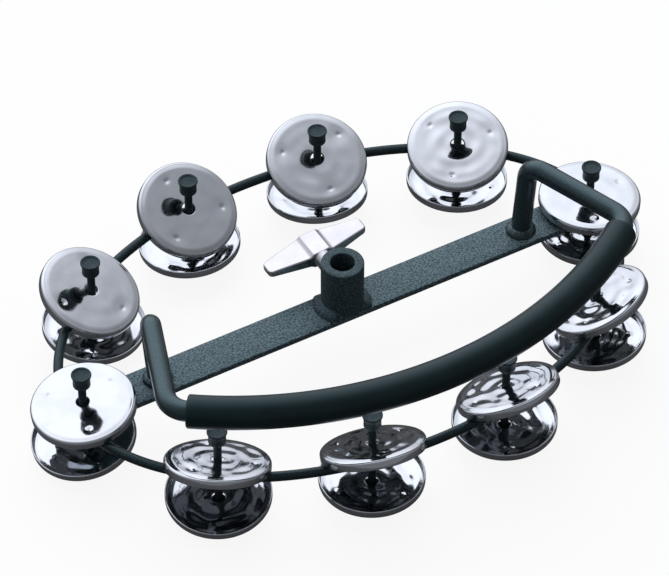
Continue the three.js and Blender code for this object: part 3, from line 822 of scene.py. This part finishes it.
# Jingles: twenty shallow lids pressed from thin steel sheet and nickel-plated, two loose
# on each post with their hollows together, with three small dents in each face.
LID_RADIUS = 24.1
LID_FLAT = 20.4
LID_HEIGHT = 4.78
LID_WALL = 0.75
LID_DOME = 0.5
LID_SHOULDER = 1.5
LID_HOLE = 3.05
DENT_RADIUS = 16.7
DENT_FORMS = ((4, 0.24), (0.95, 0.48))
WARPS = dict(a=0.02, b=0.05, c=0.012, d=0.008, e=0.008, f=0.008, g=0.08, h=0.08, i=0.08, j=0.08)
DENT_TURNS = dict(a=125, b=112, c=25, d=103, e=-52, f=132, g=80, h=15, i=60, j=100)
LOWER_TURN = 50
LEAST_LOWER_WARP = 0.09
LID_STEPS = 128

nickel = plated(
    "jingle_nickel", (0.53, 0.555, 0.585), (0.62, 0.65, 0.68), roughness=(0.07, 0.12), lines=160,
    scratch_depth=0.000012,
)


def lid_profile():
    """The lid's section once round as (radius, height): a flat face, a sloping border, a round
    shoulder, the lip with a rounded foot, and the same again a wall's thickness inside, with a
    rolled hole edge. The face falls as the square of the radius, the border by an eased step."""
    face = np.linspace(LID_HOLE + 0.4, LID_RADIUS - LID_SHOULDER, 40)
    border = np.clip((face - LID_FLAT) / (LID_RADIUS - LID_SHOULDER - LID_FLAT), 0, 1)
    dome = -0.2 * LID_DOME * (face / LID_FLAT) ** 2 - 0.76 * LID_DOME * border ** 1.5
    shoulder = arc(LID_RADIUS - LID_SHOULDER, -LID_DOME - LID_SHOULDER, LID_SHOULDER, 90, 0, 9)[1:]
    lip = arc(LID_RADIUS - LID_WALL / 2, -LID_HEIGHT + LID_WALL / 2, LID_WALL / 2, 0, -180, 7)
    inner = arc(LID_RADIUS - LID_SHOULDER, -LID_DOME - LID_SHOULDER, LID_SHOULDER - LID_WALL, 0, 90, 6)[:-1]
    roll = arc(LID_HOLE + 0.4, -LID_WALL / 2, LID_WALL / 2, 270, 90, 7)[1:-1]
    outer = np.stack([face, dome], -1)
    return np.vstack([outer, shoulder, lip, inner, (outer - (0, LID_WALL))[::-1], roll])


LID = lid_profile()


def seat_of(node):
    """Where a lid lies: its axis is the direction in which the CAD node's points spread least,
    pointing from the rim to the hole, and its origin the top of the hole."""
    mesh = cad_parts[node].data
    spots = np.empty(len(mesh.vertices) * 3, np.float32)
    mesh.vertices.foreach_get("co", spots)
    spots = np.unique(np.round(spots.reshape(-1, 3) * 1000.0, 3), axis=0)
    centre = spots.mean(0)
    axis = np.linalg.svd(spots - centre, full_matrices=False)[2][2]
    height = (spots - centre) @ axis
    radius = np.linalg.norm(spots - centre - height[:, None] * axis, axis=1)
    hole, rim = radius < radius.min() + 0.5, radius > radius.max() - 0.5
    if height[hole].mean() < height[rim].mean():
        axis, height = -axis, -height
    return centre + axis * height[hole].max(), axis


def lid_rows(node, dent_turn, warp, seed):
    """The lid spun round its axis, with three dents at equal turns, each a wide and a narrow
    Gaussian, and a slight waviness from crossed and round sine waves that fades at the border."""
    origin, axis = seat_of(node)
    east = unit(np.array([1.0, 0, 0]) - axis * axis[0])
    north = np.cross(axis, east)
    turn = circle(LID_STEPS)
    radius, height = LID[:, :1], LID[:, 1:]
    x, y = radius * np.cos(turn), radius * np.sin(turn)
    dents = np.zeros_like(x)
    for spoke in np.radians(dent_turn + np.array([0, 120, 240])):
        gap = np.hypot(x - DENT_RADIUS * np.cos(spoke), y - DENT_RADIUS * np.sin(spoke))
        for size, depth in DENT_FORMS:
            dents += depth * np.exp(-(gap / size) ** 2)
    phase = np.random.default_rng(seed).uniform(0, 2 * np.pi, 4)
    wave = np.sin(0.5 * x + phase[0] + 1.4 * np.sin(0.33 * y + phase[1]))
    wave += np.sin(0.55 * y + phase[2] + 1.3 * np.sin(0.3 * x + phase[3]))
    wave += 1.2 * np.sin(0.85 * radius + phase[0] + 0.6 * np.sin(2 * turn + phase[2]))
    fade = np.clip((LID_FLAT - radius) / 4, 0, 1)
    level = height - dents + warp * wave * fade
    return origin + x[..., None] * east + y[..., None] * north + level[..., None] * axis


for number, letter in enumerate(PAIRS):
    for place, extra, least in (("upper", 0, 0), ("lower", LOWER_TURN, LEAST_LOWER_WARP)):
        node = f"{place}_jingle_{letter}"
        warp = max(WARPS[letter], least)
        rows = lid_rows(node, DENT_TURNS[letter] + extra, warp, 10 * number + extra)
        piece = closed_mesh(f"{place}_lid_{letter}", rows, close_rows=True)
        finish_piece(piece, nickel, "nickel", node, node)

# View settings: the standard view transform.
bpy.context.scene.view_settings.view_transform = "Standard"
